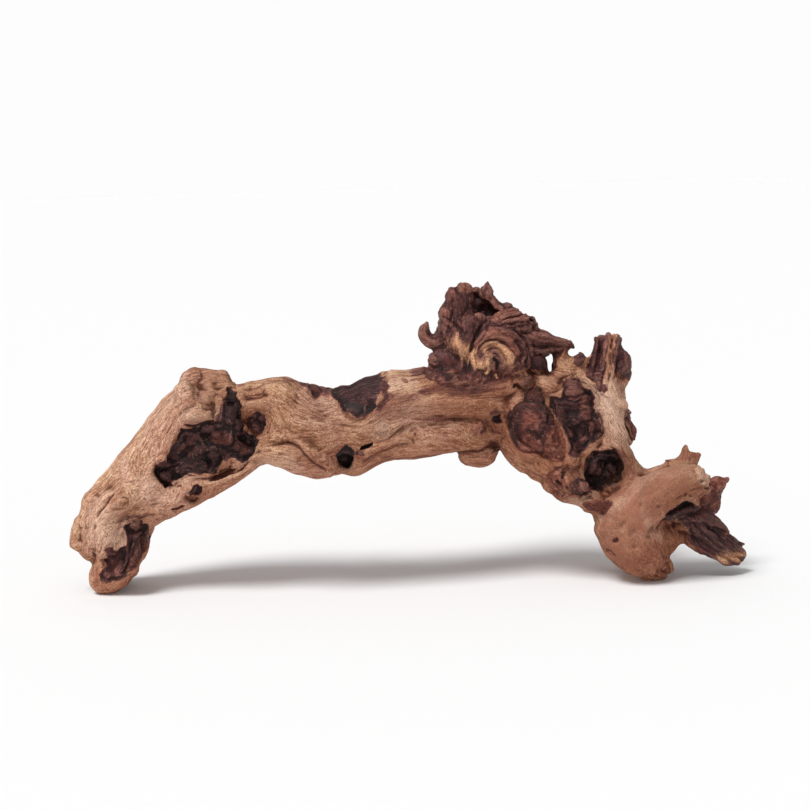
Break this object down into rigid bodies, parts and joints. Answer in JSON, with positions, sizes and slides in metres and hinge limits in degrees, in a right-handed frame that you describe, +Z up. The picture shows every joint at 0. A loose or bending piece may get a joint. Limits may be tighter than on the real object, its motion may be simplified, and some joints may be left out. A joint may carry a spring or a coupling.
{
  "type": "mopani wood root",
  "caption": "Branching piece of weathered mopani root that stands as an arch on its feet, with a gnarled burl, rot pockets and broken stubs; aquarium or terrarium decor.",
  "frame": {"origin": "middle of the footprint, on the plane that the feet rest on", "axes": "+X along the root's length, towards the hooked foot; -Y towards the side with the large rot pockets; +Z up"},
  "size_m": [0.408, 0.0838, 0.1791],
  "materials": {
    "pale_wood": "dry, sand-blasted sapwood, pale tan with brown grain",
    "dark_heartwood": "dry, gnarled heartwood, dark purple-brown, slightly waxy"
  },
  "bodies": {
    "root": {"main_limb": "pale_wood", "right_leg": "pale_wood", "burl": "dark_heartwood", "upright_stub": "dark_heartwood", "prong": "dark_heartwood"}
  },
  "joints": []
}
